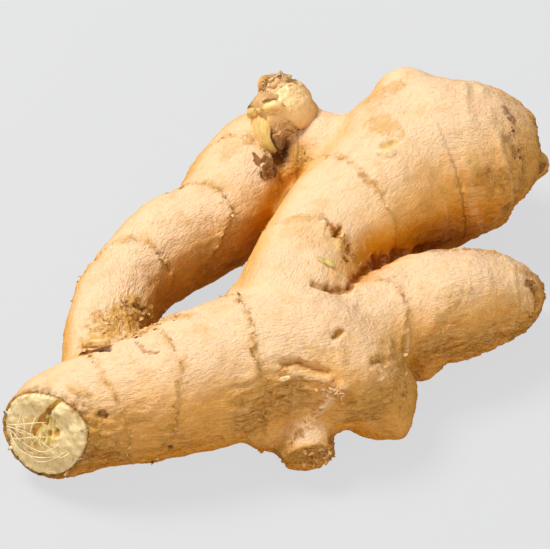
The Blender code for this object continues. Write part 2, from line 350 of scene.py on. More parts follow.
# Scars, pits and patches: from one place to another on the skin, how wide it reaches and how far it stands
# out in mm (below zero it is sunk), how rough it is, its colour, and how strongly that shows. A mark under
# SMALL_MARK wide has a crisp edge, one of WIDE_MARK or more fades evenly, and those between are ragged.
SMALL_MARK = 2.3
WIDE_MARK = 5.0
PALE = (0.95, 0.67, 0.39)
OCHRE = (0.66, 0.36, 0.075)
RUST = (0.50, 0.21, 0.025)
DARK = (0.17, 0.055, 0.006)
GOLD = (0.72, 0.41, 0.10)
OLIVE = (0.70, 0.50, 0.12)
GREY_BROWN = (0.48, 0.26, 0.09)
CREVICE_SHADE_BROWN = (0.40, 0.11, 0.002)
AMBER = (0.74, 0.30, 0.004)
MARKS = (
    # The gouge across the stem's front, with its torn pale lower lip, and the pits round it.
    ((-2.7, -41.2, 28.0), (1.0, -41.0, 28.6), 0.8, -1.1, 0.0, OCHRE, 0.55),
    ((1.0, -41.0, 28.6), (7.6, -42.2, 26.4), 0.8, -1.1, 0.0, OCHRE, 0.55),
    ((-1.2, -41.9, 27.6), (6.0, -42.4, 26.6), 1.7, -0.8, 0.0, OCHRE, 0.15),
    ((-0.4, -42.6, 26.9), (7.6, -43.4, 25.0), 1.1, 1.0, 0.2, PALE, 0.6),
    ((9.4, -35.0, 30.9), (11.3, -33.1, 30.9), 0.9, -0.9, 0.0, RUST, 0.9),
    ((18.9, -38.3, 25.7), (21.0, -36.6, 24.6), 1.0, -0.9, 0.5, RUST, 0.5),
    ((19.9, -40.8, 22.9), (20.2, -40.6, 22.6), 0.9, 0.5, 0.2, PALE, 0.9),
    ((4.0, -38.5, 29.5), (11.0, -38.0, 28.0), 2.4, -0.2, 0.25, OCHRE, 0.35),
    ((-44.1, -52.2, 23.4), (-43.0, -52.6, 23.0), 1.2, -0.9, 0.1, DARK, 0.95),
    ((-28.8, -54.0, 13.2), (-28.4, -54.0, 13.2), 0.6, -0.6, 0.0, DARK, 1.0),
    # The torn ridge down to the stub, and the rough dry skin to its right.
    ((11.2, -43.9, 23.3), (7.1, -45.6, 19.0), 1.5, 0.8, 0.5, PALE, 0.55),
    ((7.1, -45.6, 19.0), (1.4, -49.1, 14.2), 1.3, 0.7, 0.5, PALE, 0.45),
    ((1.4, -49.1, 14.2), (-2.8, -51.5, 9.2), 1.2, 0.5, 0.4, OCHRE, 0.6),
    ((10.6, -44.9, 21.3), (12.5, -44.9, 20.0), 2.2, -0.3, 0.5, RUST, 0.45),
    ((15.7, -44.3, 21.0), (23.6, -42.4, 15.2), 4.5, 0.0, 0.4, OCHRE, 0.35),
    ((25.1, -29.7, 20.4), (19.0, -37.0, 25.0), 3.5, 0.0, 0.4, OCHRE, 0.40),
    ((26.8, -25.2, 22.6), (26.4, -28.2, 18.9), 0.7, 0.5, 0.0, PALE, 0.8),
    ((28.3, -39.9, 11.4), (30.0, -36.0, 12.0), 2.2, 0.0, 0.3, OCHRE, 0.5),
    # The stub's broken, corky end and the folds along the foot of the stem.
    ((1.4, -52.7, 8.5), (8.4, -51.8, 8.2), 2.6, -0.2, 0.5, OCHRE, 0.65),
    ((1.8, -52.4, 9.6), (7.2, -52.1, 9.6), 0.9, -1.1, 0.2, RUST, 0.85),
    ((3.2, -52.4, 6.4), (8.0, -51.6, 6.6), 0.9, -0.5, 0.2, RUST, 0.6),
    ((9.1, -49.3, 10.8), (10.4, -46.0, 8.0), 1.2, -1.0, 0.0, RUST, 0.5),
    ((-28.1, -53.8, 10.5), (-16.6, -50.7, 12.3), 1.1, -0.7, 0.2, RUST, 0.5),
    ((-24.0, -53.2, 8.6), (-12.5, -50.0, 12.3), 1.6, 0.5, 0.3, OCHRE, 0.4),
    ((-34.0, -54.5, 7.5), (-20.0, -52.6, 6.5), 2.5, 0.2, 0.4, OCHRE, 0.45),
    # The crusty scar where the rear finger joins the stem, its overhanging lip with painted shadow beneath it,
    # and the crack beside it.
    ((-44.8, -22.8, 21.7), (-38.1, -15.2, 19.8), 4.6, 0.15, 0.55, GOLD, 0.85),
    ((-38.5, -22.8, 19.3), (-34.8, -13.8, 15.5), 3.0, 0.3, 0.7, OCHRE, 0.80),
    ((-41.0, -31.0, 26.4), (-34.5, -29.5, 27.8), 2.6, 0.1, 0.5, GOLD, 0.70),
    ((-31.3, -27.6, 27.8), (-24.1, -29.6, 31.3), 1.6, 0.1, 0.5, GOLD, 0.60),
    ((-48.5, -26.8, 21.0), (-44.5, -27.3, 22.6), 2.6, 0.3, 0.5, GOLD, 0.70),
    ((-49.0, -29.9, 21.4), (-42.6, -32.2, 26.0), 1.5, 1.5, 0.4, OCHRE, 0.75),
    # Painted shadow: a dark groove under the lip.
    ((-48.2, -35.6, 25.4), (-42.9, -36.7, 27.9), 0.9, -1.3, 0.0, DARK, 0.95),
    ((-36.7, -35.0, 29.5), (-34.2, -39.2, 30.7), 0.45, -0.4, 0.0, RUST, 0.9),
    ((-34.2, -39.2, 30.7), (-31.4, -40.1, 31.0), 0.45, -0.4, 0.0, RUST, 0.9),
    # Puckered skin beside the knife's cut.
    ((-51.2, -46.3, 25.9), (-47.4, -48.2, 26.0), 1.4, 0.7, 0.2, GOLD, 0.5),
    ((-45.9, -53.0, 22.2), (-46.3, -55.0, 16.5), 2.4, -0.3, 0.5, OCHRE, 0.6),
    # The upper finger: torn notches at its base, the fold below them, and the sunken eye on its top.
    ((9.4, -0.6, 33.0), (10.6, -2.4, 32.0), 1.1, -2.0, 0.0, AMBER, 1.0),
    ((11.6, -0.2, 32.3), (10.4, -1.8, 32.2), 0.9, -1.4, 0.0, RUST, 0.9),
    ((13.9, -3.6, 30.1), (13.0, -7.6, 29.3), 0.9, -1.5, 0.0, AMBER, 1.0),
    ((11.5, -3.5, 31.4), (10.9, -6.9, 31.0), 1.0, 1.0, 0.3, OCHRE, 0.6),
    ((4.8, -19.3, 32.0), (8.6, -19.1, 29.8), 1.2, -1.0, 0.0, RUST, 0.6),
    ((8.6, -19.1, 29.8), (13.2, -17.0, 27.5), 1.4, -1.3, 0.0, RUST, 0.8),
    ((-0.8, 1.5, 32.3), (6.0, 2.0, 33.6), 2.2, 0.1, 0.35, OCHRE, 0.35),
    ((1.5, -1.5, 33.6), (9.0, -5.5, 32.8), 5.0, 0.0, 0.12, GOLD, 0.40),
    ((22.4, 21.0, 39.9), (25.4, 22.0, 40.1), 1.2, -1.0, 0.1, OLIVE, 0.7),
    ((21.6, 19.4, 39.2), (24.2, 18.6, 39.2), 1.1, 0.8, 0.0, PALE, 0.9),
    ((20.5, 29.7, 40.7), (24.1, 25.3, 41.2), 3.2, 0.0, 0.3, OCHRE, 0.45),
    ((19.7, 40.7, 37.9), (26.8, 42.0, 41.2), 2.6, 0.1, 0.45, OCHRE, 0.45),
    ((17.0, 14.0, 36.8), (18.4, 11.6, 36.0), 0.9, -0.3, 0.3, RUST, 0.6),
    ((44.3, 19.6, 36.3), (45.4, 18.4, 34.8), 1.3, 0.0, 0.0, OLIVE, 0.3),
    ((48.5, 18.1, 31.7), (51.6, 19.1, 30.1), 3.4, 0.1, 0.6, RUST, 0.35),
    ((53.1, 35.2, 39.8), (55.1, 32.5, 38.2), 1.3, 0.2, 0.5, DARK, 0.60),
    ((53.7, 26.6, 36.7), (55.6, 25.3, 33.9), 2.0, -0.4, 0.5, GREY_BROWN, 0.75),
    ((55.8, 21.8, 19.0), (53.6, 19.1, 20.6), 1.9, -0.3, 0.4, GREY_BROWN, 0.85),
    ((57.6, 24.6, 30.1), (56.5, 23.5, 25.0), 3.0, 0.0, 0.4, GREY_BROWN, 0.35),
    ((63.6, 35.7, 19.1), (64.8, 38.2, 16.9), 1.7, 1.0, 0.4, DARK, 0.75),
    # The right finger's scarred tip and rough top.
    ((57.0, -8.2, 21.2), (58.9, -8.5, 19.1), 1.3, -0.6, 0.3, RUST, 0.75),
    ((58.9, -8.5, 19.1), (59.4, -10.7, 16.1), 1.2, -0.5, 0.4, RUST, 0.65),
    ((57.7, -12.0, 17.5), (55.3, -12.6, 17.5), 2.4, 0.1, 0.3, PALE, 0.5),
    ((57.7, -13.3, 14.2), (52.2, -16.9, 11.6), 1.2, 0.1, 0.5, OCHRE, 0.6),
    ((55.0, -5.5, 23.0), (57.6, -5.0, 20.5), 2.4, 0.0, 0.5, RUST, 0.35),
    ((37.2, -18.3, 25.7), (40.2, -16.2, 26.2), 3.0, 0.1, 0.4, OCHRE, 0.35),
    ((42.3, -22.0, 16.3), (45.1, -20.9, 12.7), 1.8, 0.0, 0.4, OCHRE, 0.50),
    # The rear finger, and the bud's brown top.
    ((-15.8, 32.4, 28.2), (-13.0, 36.0, 28.0), 3.0, 0.0, 0.3, OCHRE, 0.35),
    ((-7.7, 47.1, 36.5), (-6.2, 49.6, 38.7), 2.6, -0.8, 0.9, GREY_BROWN, 0.85),
    ((-7.7, 48.7, 37.8), (-4.4, 49.2, 38.7), 2.2, -0.7, 0.9, OCHRE, 0.80),
    # The crevices between the upper finger and the right one, and between it and the rear one, sunk and
    # coloured with painted shade.
    ((14.5, -11.0, 27.5), (20.0, -0.4, 24.6), 5.0, -0.5, 0.0, AMBER, 0.75),
    ((20.0, -0.4, 24.6), (31.0, 6.0, 21.5), 5.5, -0.5, 0.0, AMBER, 0.75),
    # Painted shadow: dark brown lines along the deepest part of the crevice.
    ((13.5, -15.1, 27.5), (16.9, -7.8, 25.2), 1.2, -0.9, 0.0, CREVICE_SHADE_BROWN, 0.80),
    ((16.9, -7.8, 25.2), (21.3, -1.9, 22.5), 1.5, -1.2, 0.0, CREVICE_SHADE_BROWN, 0.90),
    ((21.3, -1.9, 22.5), (25.4, 1.1, 21.2), 1.7, -1.3, 0.0, CREVICE_SHADE_BROWN, 0.95),
    ((25.4, 1.1, 21.2), (31.7, 6.2, 18.3), 1.7, -1.0, 0.0, CREVICE_SHADE_BROWN, 0.95),
    ((31.7, 6.2, 18.3), (39.5, 12.5, 13.5), 1.6, -0.5, 0.0, CREVICE_SHADE_BROWN, 0.80),
    ((-2.1, 26.4, 21.7), (-5.2, 18.0, 17.0), 5.0, 0.0, 0.0, AMBER, 0.70),
    ((-2.8, 34.6, 27.6), (-3.2, 31.0, 25.6), 1.9, -1.4, 0.1, DARK, 0.90),
    ((-3.2, 31.0, 25.6), (-2.8, 27.0, 22.8), 1.4, -0.8, 0.0, RUST, 0.70),
    ((-16.3, 9.7, 8.5), (-13.3, 12.5, 7.9), 1.6, 0.2, 0.5, RUST, 0.7),
)

ragged = 0.55 * grain(points, 1.6, 51) + 0.45 * grain(points, 0.8, 52)
coarse_crust = 0.6 * grain(points, 1.5, 53) + 0.6 * grain(points, 0.75, 54)
torn_edge = rise(ring_dark, 0.1, 0.6) * rise(grain(points, 4.0, 57), -0.5, 0.5)
crust = 0.85 * torn_edge * np.exp(-((ring_gap / 0.9) ** 2))
tint = np.zeros((len(points), 3))
tint_share = np.zeros(len(points))
for start, end, reach, push, rough, colour, strength in MARKS:
    start = np.array(start)
    leg = np.array(end) - start
    along = np.clip((points - start) @ leg / (leg @ leg), 0, 1)
    away = np.linalg.norm(points - start - along[:, None] * leg, axis=1) / reach
    wide = reach >= WIDE_MARK
    away += (0.12 if wide else 0.45 if reach < SMALL_MARK else 0.6) * ragged
    full = rise(-away, -1.40, -0.10)
    lift += push * full
    crust = np.maximum(crust, rough * full)
    amount = (strength * (full if wide else rise(full, 0.20, 0.60)))[:, None]
    tint = tint * (1 - amount) + np.array(colour) * amount
    tint_share = tint_share * (1 - amount[:, 0]) + amount[:, 0]
tint /= np.maximum(tint_share, 1e-6)[:, None]
lift += crust * coarse_crust * 0.8

# The skin has a dry brown edge round the knife's cut, pulled up in folds on its right. Under the cut's raw
# flesh it is sunk out of the way.
FLESH_SEAT = 0.6
from_cut = points - CUT_MIDDLE
rim = rise(-abs(from_cut @ CUT_FACES), -3.4, -0.2) * (np.linalg.norm(from_cut, axis=1) < CUT_RADIUS + 3)
right_of_cut = rise(points[:, 0] - CUT_MIDDLE[0], 4.0, 9.0)
lift *= 1 - 0.8 * rim * (1 - right_of_cut)
lift += rim * (0.15 + 0.12 * grain(points, 1.4, 55) + 0.7 * right_of_cut * grain(points, 1.2, 56))
edge_share = 0.55 * rise(rim + 0.45 * ragged, 0.65, 1.0)
tint = tint * (1 - edge_share[:, None]) + np.array(OCHRE) * edge_share[:, None]
tint_share = np.maximum(tint_share, edge_share)

quiet = rise(points[:, 2], 0.3, 2.5) * ~on_cut
points = points + normals * (lift * quiet)[:, None]
points[on_cut] -= np.array(CUT_FACES) * FLESH_SEAT
points[:, 2] = np.maximum(points[:, 2], 0.0)
write_points(skin.data, points)
skin.data.update()
bpy.ops.object.shade_smooth()

# How enclosed each part of the skin is, for the painted shade in the hollows: rays from each face of the
# solid, spread to the fine points.
RAYS = 40
RAY_REACH = 25 * MM
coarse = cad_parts["ginger_root"].data
walls = BVHTree.FromPolygons([v.co for v in coarse.vertices], [p.vertices for p in coarse.polygons])
rays = np.random.default_rng(8).normal(size=(RAYS, 3))
rays /= np.linalg.norm(rays, axis=1)[:, None]
tree = KDTree(len(coarse.polygons))
enclosed = []
for index, face in enumerate(coarse.polygons):
    tree.insert(face.center, index)
    start = face.center + face.normal * 0.3 * MM
    hits = 0.0
    total = 0.0
    for ray in rays:
        direction = Vector(ray)
        facing = direction.dot(face.normal)
        if facing > 0.05:
            total += facing
            place, normal, which, distance = walls.ray_cast(start, direction, RAY_REACH)
            if place is not None:
                hits += facing * (1 - 0.5 * distance / RAY_REACH)
    enclosed.append(hits / total)
tree.balance()
hollow = np.zeros(len(points))
for index, point in enumerate(points * MM):
    found = tree.find_n(point, 6)
    weights = [1 / (distance + 0.4 * MM) for place, which, distance in found]
    values = [enclosed[which] for place, which, distance in found]
    hollow[index] = sum(w * v for w, v in zip(weights, values)) / sum(weights)


def note(mesh, **fields):
    """Writes one number or vector for each point of the mesh, under each name, for its finish to read."""
    for name, values in fields.items():
        kind, field = ("FLOAT", "value") if np.ndim(values) == 1 else ("FLOAT_VECTOR", "vector")
        mesh.attributes.new(name, kind, "POINT").data.foreach_set(field, np.ascontiguousarray(values).ravel())


note(
    skin.data,
    grain_stem=places["stem"][:, :3],
    grain_finger=finger_place[:, :3],
    finger_share=finger_share,
    ring_gap=ring_gap,
    ring_dark=ring_dark,
    dryness=dryness * (0.4 + 0.6 * patchy),
    crust=crust,
    tint=tint,
    tint_share=tint_share,
    # Painted shade: how far each point faces down, so that the colour darkens down the sides and underneath.
    underneath=np.clip(0.5 - 0.5 * facing_up, 0, 1),
    # Painted shade: how enclosed each point is, so that the colour darkens in the hollows.
    hollow=hollow,
)


def maths(operation, reflected=False):
    """What an operator on a Value does: it adds one Math node."""

    def operate(value, other=0.0):
        first, second = (other, value) if reflected else (value, other)
        return value.finish.add("ShaderNodeMath", {"operation": operation}, {0: first, 1: second})

    return operate


class Value:
    """A socket of a finish, so that sums on it can be written as sums."""

    def __init__(self, finish, socket):
        self.finish = finish
        self.socket = socket

    __add__ = maths("ADD")
    __radd__ = maths("ADD", reflected=True)
    __sub__ = maths("SUBTRACT")
    __rsub__ = maths("SUBTRACT", reflected=True)
    __mul__ = maths("MULTIPLY")
    __rmul__ = maths("MULTIPLY", reflected=True)
    __abs__ = maths("ABSOLUTE")


class Finish:
    """A material and the one way to add a node to it."""

    def __init__(self, name):
        self.material = bpy.data.materials.new(name)
        self.material.use_nodes = True
        self.tree = self.material.node_tree
        self.shader = self.tree.nodes["Principled BSDF"]

    def plug(self, socket, value):
        """Links a Value to the socket, or sets the socket to a number or a colour."""
        if isinstance(value, Value):
            self.tree.links.new(value.socket, socket)
        elif isinstance(value, tuple) and len(value) == 3 and len(socket.default_value) == 4:
            socket.default_value = (*value, 1.0)
        else:
            socket.default_value = value

    def add(self, kind, settings, values, output=0):
        """Adds a node: its settings first, then the values or links of its sockets."""
        node = self.tree.nodes.new(kind)
        for name, setting in settings.items():
            setattr(node, name, setting)
        for name, value in values.items():
            self.plug(node.inputs[name], value)
        return Value(self, node.outputs[output])

    def read(self, name, output="Fac"):
        """What note wrote under this name; the output is Vector where it is one."""
        return self.add("ShaderNodeAttribute", {"attribute_name": name}, {}, output)

    def place(self):
        """The place on the object, in metres."""
        return self.add("ShaderNodeTexCoord", {}, {}, "Object")

    def noise(self, where, scale, detail=3.0, warp=0.0, stretch=None):
        """Cloudy noise at a scale, drawn out along any axis whose stretch is under 1."""
        if stretch:
            where = self.add("ShaderNodeMapping", {}, {"Vector": where, "Scale": stretch})
        values = {"Vector": where, "Scale": scale, "Detail": detail, "Distortion": warp}
        return self.add("ShaderNodeTexNoise", {}, values, "Fac")

    def between(self, value, low, high):
        """0 where the value is below low, 1 above high, and smooth between; low may be the larger."""
        values = {"Value": value, "From Min": low, "From Max": high}
        return self.add("ShaderNodeMapRange", {"interpolation_type": "SMOOTHSTEP"}, values)

    def mix(self, share, start, end):
        """A colour that goes from start to end with the share."""
        return self.add("ShaderNodeMix", {"data_type": "RGBA"}, {0: share, 6: start, 7: end}, 2)

    def lerp(self, share, start, end):
        """A number that goes from start to end with the share."""
        return self.add("ShaderNodeMix", {"data_type": "FLOAT"}, {0: share, 2: start, 3: end}, 0)

    def coat(self, colour, coats):
        """The colour under coats of others, each with its share."""
        for share, above in coats:
            colour = self.mix(share, colour, above)
        return colour

    def bump(self, height, distance):
        """A relief; distance is in metres."""
        return self.add("ShaderNodeBump", {}, {"Height": height, "Distance": distance, "Strength": 1.0})

    def set(self, **values):
        """Gives the shader's own sockets their values or links."""
        for name, value in values.items():
            self.plug(self.shader.inputs[name.replace("_", " ")], value)


CREAM = (0.93, 0.66, 0.42)
SIDE_SHADE_TAN = (0.87, 0.46, 0.12)
SHADE_ORANGE = (0.80, 0.33, 0.015)
HOLLOW_SHADE_AMBER = (0.66, 0.23, 0.001)
BLOTCH_TAN = (0.74, 0.42, 0.14)
LINE_BROWN = (0.62, 0.36, 0.15)
SPECK_BROWN = (0.45, 0.25, 0.10)
FURROW_SHADE_BROWN = (0.50, 0.20, 0.035)
CRUMB_BROWN = (0.33, 0.13, 0.025)
RING_BROWN = (0.40, 0.16, 0.02)

papery = Finish("papery_skin")
body = papery.place()
stem_grain = papery.read("grain_stem", "Vector")
finger_grain = papery.read("grain_finger", "Vector")
share = papery.read("finger_share")


def both_grains(scale, detail, warp, stretch):
    """Noise drawn out along whichever branch the skin is on."""
    on_stem = papery.noise(stem_grain, scale, detail, warp, stretch)
    on_finger = papery.noise(finger_grain, scale, detail, warp, stretch)
    return papery.lerp(share, on_stem, on_finger)


dry = papery.read("dryness")
wrinkles = both_grains(0.75, 4.0, 0.9, (0.34, 1.0, 1.0))
fine_lines = both_grains(2.4, 2.0, 0.5, (0.30, 1.0, 1.0))
clouds = papery.noise(body, 70.0, 3.0)
blotches = papery.noise(body, 210.0, 4.0)
pebble = papery.noise(body, 900.0, 3.0)
specks = papery.noise(body, 1700.0, 2.0)
crusty = papery.read("crust")

# How far down the sides and how deep in the hollows each part is, for the painted shade there, and where the
# wrinkles and stains lie.
below = papery.read("underneath")
side_shade_and_mottle = below * 1.25 + 0.30 * (clouds - 0.5) + 0.12 * (wrinkles - 0.5)
hollow_shade_share = papery.read("hollow")
ridges = 1.0 - abs(wrinkles - 0.5) * 4.0
tint_part = papery.read("tint_share")
tinted = tint_part * papery.between(pebble + blotches, 0.70, 1.05)

# A brown ring has a broken dark edge and a soft halo; a pale one is a faint line.
gap = papery.read("ring_gap") + 0.55 * (pebble - 0.5)
ring_mark = papery.read("ring_dark")
brown_ring = papery.between(ring_mark, 0.0, 0.3)
pale_ring = papery.between(ring_mark, 0.0, -0.4)
edge = papery.between(abs(gap), 0.20, 0.04)
broken = papery.between(papery.noise(body, 300.0, 3.0), 0.46, 0.60)
halo = papery.between(abs(gap), 1.5, 0.1) * papery.between(blotches, 0.40, 0.60)

# Cream on top, then painted shade: tan down the sides and orange underneath and in the hollows. Then the
# blotches, lines, specks, painted shade in the furrows and painted highlight on the ridges, stains, crumbs and
# rings over that.
colour = papery.coat(
    CREAM,
    (
        # Painted shade: tan down the sides, and orange underneath and in the hollows.
        (papery.between(side_shade_and_mottle, 0.03, 0.36), SIDE_SHADE_TAN),
        (papery.between(side_shade_and_mottle + hollow_shade_share * 1.1, 0.46, 1.0), SHADE_ORANGE),
        # Painted shade: deep amber in the hollows, strongest where they also face down.
        (papery.between(hollow_shade_share * (0.55 + 1.1 * below), 0.20, 0.52), HOLLOW_SHADE_AMBER),
        (papery.between(blotches, 0.50, 0.70) * 0.35, BLOTCH_TAN),
        (papery.between(fine_lines, 0.52, 0.78) * 0.20, LINE_BROWN),
        (papery.between(specks, 0.66, 0.76) * 0.45, SPECK_BROWN),
        # Painted shade in the wrinkles' furrows, and painted highlight on their ridges.
        (papery.between(ridges, 0.75, 0.20) * dry * 0.85, FURROW_SHADE_BROWN),
        (papery.between(ridges, 0.70, 1.0) * dry * 0.40, PALE),
        (tinted * 0.50 + tint_part * 0.55, papery.read("tint", "Vector")),
        (papery.between(pebble, 0.60, 0.68) * crusty * 0.9, CRUMB_BROWN),
        (halo * brown_ring * 0.60, OCHRE),
        (edge * (0.12 + 0.88 * broken) * brown_ring * ring_mark * 0.85, RING_BROWN),
        (papery.between(abs(gap), 0.45, 0.05) * pale_ring * 0.25, PALE),
    ),
)
relief = ridges * dry + (fine_lines + pebble) * (0.35 + 0.5 * dry) + specks * 0.25 + crusty * pebble * 0.8
papery.set(
    Base_Color=colour,
    Roughness=papery.lerp(blotches, 0.42, 0.72),
    Specular_IOR_Level=0.14,
    Normal=papery.bump(relief, 1.0 * MM),
    Subsurface_Weight=0.15,
    Subsurface_Radius=(1.0, 0.40, 0.12),
    Subsurface_Scale=1.0 * MM,
)
skin.data.materials.append(papery.material)
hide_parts("ginger_root")
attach(skin, "root")


# --- The knife's cut ---
# The stem was cut from its parent with a knife, so its end shows the raw flesh: pale cream at the edge, with
# a greenish fibrous middle, a split from the top and small brown pits. It is the solid's own cut face.

# The flesh's depth in mm, and at how many bearings round the face its outline is measured.
FLESH_DEPTH = 1.0
BEARINGS = 72
ACROSS_CUT = Vector((0, 0, 1)).cross(CUT_FACES).normalized()
UP_CUT = CUT_FACES.cross(ACROSS_CUT)

flesh = bring_in("cut_flesh", skin.data.copy())
bpy.ops.object.mode_set(mode="EDIT")
bpy.ops.mesh.select_mode(type="FACE")
bpy.ops.object.mode_set(mode="OBJECT")
for polygon in flesh.data.polygons:
    polygon.select = not all(on_cut[index] for index in polygon.vertices)
bpy.ops.object.mode_set(mode="EDIT")
bpy.ops.mesh.delete(type="FACE")
bpy.ops.mesh.select_all(action="SELECT")
bpy.ops.mesh.subdivide(number_cuts=2)
bpy.ops.object.mode_set(mode="OBJECT")
for name in flesh.data.attributes.keys():
    if name not in ("position", ".edge_verts", ".corner_vert", ".corner_edge", "sharp_face"):
        flesh.data.attributes.remove(flesh.data.attributes[name])

# The face's outline is smoothed: its radius at each bearing is averaged with its neighbours', its edge is
# moved to that radius, and the rest is kept inside.
offsets = read_points(flesh.data) / MM - CUT_MIDDLE
across = offsets @ ACROSS_CUT
up = offsets @ UP_CUT
centre = np.array((across.mean(), up.mean()))
across, up = across - centre[0], up - centre[1]
bearing = np.arctan2(up, across)
outline = np.zeros(BEARINGS)
bearing_index = ((bearing + math.pi) / (2 * math.pi) * BEARINGS).astype(int) % BEARINGS
np.maximum.at(outline, bearing_index, np.hypot(across, up))
wrapped = np.concatenate([outline[-3:], outline, outline[:3]])
even_outline = np.convolve(wrapped, np.ones(7) / 7, "valid")
bearing_middles = (np.arange(BEARINGS) + 0.5) / BEARINGS * 2 * math.pi - math.pi
edge_radius = np.interp(bearing, bearing_middles, even_outline, period=2 * math.pi)
sides = np.zeros(len(flesh.data.loops), int)
flesh.data.loops.foreach_get("edge_index", sides)
open_edges = np.nonzero(np.bincount(sides, minlength=len(flesh.data.edges)) == 1)[0]
at_edge = np.zeros(len(across), bool)
for edge_number in open_edges:
    at_edge[list(flesh.data.edges[edge_number].vertices)] = True
radius = np.where(at_edge, edge_radius, np.minimum(np.hypot(across, up), 0.975 * edge_radius))
across, up = radius * np.cos(bearing), radius * np.sin(bearing)
face_place = np.stack([across, up, np.zeros(len(across))], axis=1)
from_middle = radius / edge_radius
flesh_points = np.array(CUT_MIDDLE) + np.outer(across + centre[0], ACROSS_CUT)
flesh_points += np.outer(up + centre[1], UP_CUT)
flesh_points -= np.array(CUT_FACES) * FLESH_SEAT


def from_leg(start, end):
    """How far each point of the cut is from a straight leg on it, in mm."""
    start = np.array(start)
    leg = np.array(end) - start
    share_along = np.clip((face_place[:, :2] - start) @ leg / (leg @ leg), 0, 1)
    return np.linalg.norm(face_place[:, :2] - start - share_along[:, None] * leg, axis=1)


# The split's stops, across and up the face in mm, and the pits with their radius.
SPLIT = ((2.7, 10.5), (-0.9, 5.0), (-3.0, -0.5))
PITS = ((0.0, 5.6, 0.9), (3.4, 1.4, 1.2), (1.4, 0.6, 0.7))
wander = 0.5 * grain(face_place, 2.5, 71) + 0.25 * grain(face_place, 1.0, 72)
split = np.minimum(from_leg(SPLIT[0], SPLIT[1]), from_leg(SPLIT[1], SPLIT[2])) + 0.5 * wander
pits = np.full(len(across), 9.0)
for pit_across, pit_up, pit_size in PITS:
    distance = np.hypot(across - pit_across, up - pit_up) / pit_size + 0.9 * wander
    pits = np.minimum(pits, distance)
middle = rise(-np.hypot((across + 0.6) / 5.0, (up - 0.2 - 0.5 * across) / 6.5) + 0.22 * wander, -1.0, -0.55)
swell = 0.95 - 0.45 * from_middle**6 + 0.50 * grain(face_place, 4.0, 73) + 0.20 * grain(face_place, 1.4, 74)
swell += 0.35 * middle * grain(face_place, (0.7, 2.6, 1.0), 75)
swell -= 1.1 * np.exp(-((split / 0.45) ** 2)) + 1.3 * rise(-pits, -1.2, -0.2) + 0.5 * middle
flesh_points += np.array(CUT_FACES) * swell[:, None] * (1 - rise(from_middle, 0.97, 1.0))[:, None]
write_points(flesh.data, flesh_points)
note(flesh.data, face_place=face_place, from_middle=from_middle, middle=middle, split=split, pits=pits)
finish_with(flesh, "SOLIDIFY", thickness=FLESH_DEPTH * MM, offset=-1.0)
bpy.ops.object.shade_smooth()

PALE_FLESH = (1.0, 0.84, 0.53)
WARM_FLESH = (0.97, 0.72, 0.36)
GREEN_FLESH = (0.84, 0.66, 0.20)
DARK_THREAD = (0.48, 0.32, 0.06)
FLESH_EDGE = (0.62, 0.34, 0.12)
PIT_BROWN = (0.70, 0.34, 0.05)
SPLIT_GOLD = (0.74, 0.44, 0.08)

raw = Finish("raw_flesh")
on_face = raw.read("face_place", "Vector")
grainy = raw.noise(on_face, 1.1, 4.0, warp=0.4)
threads = raw.noise(on_face, 1.5, 4.0, warp=0.8, stretch=(1.0, 0.45, 1.0))
fine = raw.noise(on_face, 4.0, 3.0)
centre_share = raw.read("middle")
colour = raw.coat(
    PALE_FLESH,
    (
        (raw.between(grainy, 0.35, 0.65), WARM_FLESH),
        (centre_share * raw.between(threads, 0.36, 0.56), GREEN_FLESH),
        (centre_share * raw.between(threads, 0.58, 0.70) * 0.7, DARK_THREAD),
        (raw.between(raw.read("from_middle") + 0.08 * (grainy - 0.5), 0.965, 1.0), FLESH_EDGE),
        (raw.between(raw.read("pits"), 1.3, 0.2) * 0.90, PIT_BROWN),
        (raw.between(abs(raw.read("split")), 0.55, 0.10) * 0.95, SPLIT_GOLD),
    ),
)
relief = threads * (0.3 + 0.7 * centre_share) + grainy * 0.5 + fine * 0.3
raw.set(
    Base_Color=colour,
    Roughness=raw.lerp(grainy, 0.35, 0.60),
    Normal=raw.bump(relief, 0.5 * MM),
    Subsurface_Weight=0.25,
    Subsurface_Radius=(1.0, 0.60, 0.20),
    Subsurface_Scale=1.5 * MM,
)
flesh.data.materials.append(raw.material)
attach(flesh, "root")


# --- The pulled fibres ---
# A tuft of fine pale fibres, pulled out of the flesh by the knife, lies in loose curls over the lower half
# of the cut. Each is a thread a third of a millimetre thick with its ends in the flesh.

FIBRE_THICKNESS = 0.30
SHORT_FIBRES = 9
SHORT_STEP = 1.5
# Across and up the cut from its middle, in mm, for the long fibres; more short ones are scattered near them.
LONG_FIBRES = (
    ((-9.6, -1.6), (-6.5, 0.4), (-3.0, 2.2), (0.4, 3.6)),
    ((-9.6, -1.6), (-6.0, -0.9), (-2.0, -0.6), (2.6, -1.6), (4.6, -3.4)),
    ((-9.4, -1.8), (-7.0, -4.0), (-3.6, -5.6), (0.6, -5.8), (4.4, -3.6), (6.8, -3.0)),
    ((-9.2, -2.2), (-6.6, -1.8), (-4.4, -4.2), (-5.0, -7.2)),
    ((-6.0, 2.6), (-4.2, 0.4), (-4.6, -3.0), (-2.6, -6.6), (-3.6, -8.4)),
    ((-2.6, 3.6), (-3.4, 0.6), (-1.8, -2.6), (-2.2, -5.4)),
    ((0.6, 2.6), (-0.8, -0.4), (0.4, -3.0), (-1.4, -4.8), (-2.8, -3.4), (-1.6, -2.0)),
    ((5.4, 0.6), (3.0, -2.8), (0.0, -4.4), (-3.0, -4.0), (-6.0, -5.0)),
    ((6.6, -1.6), (4.0, -4.8), (0.8, -7.0), (-2.4, -6.4), (-4.6, -4.6)),
    ((-8.0, -4.4), (-4.0, -2.0), (-0.4, 0.4), (2.0, 0.0)),
)
thread_luck = random.Random(14)
routes = [list(route) for route in LONG_FIBRES]
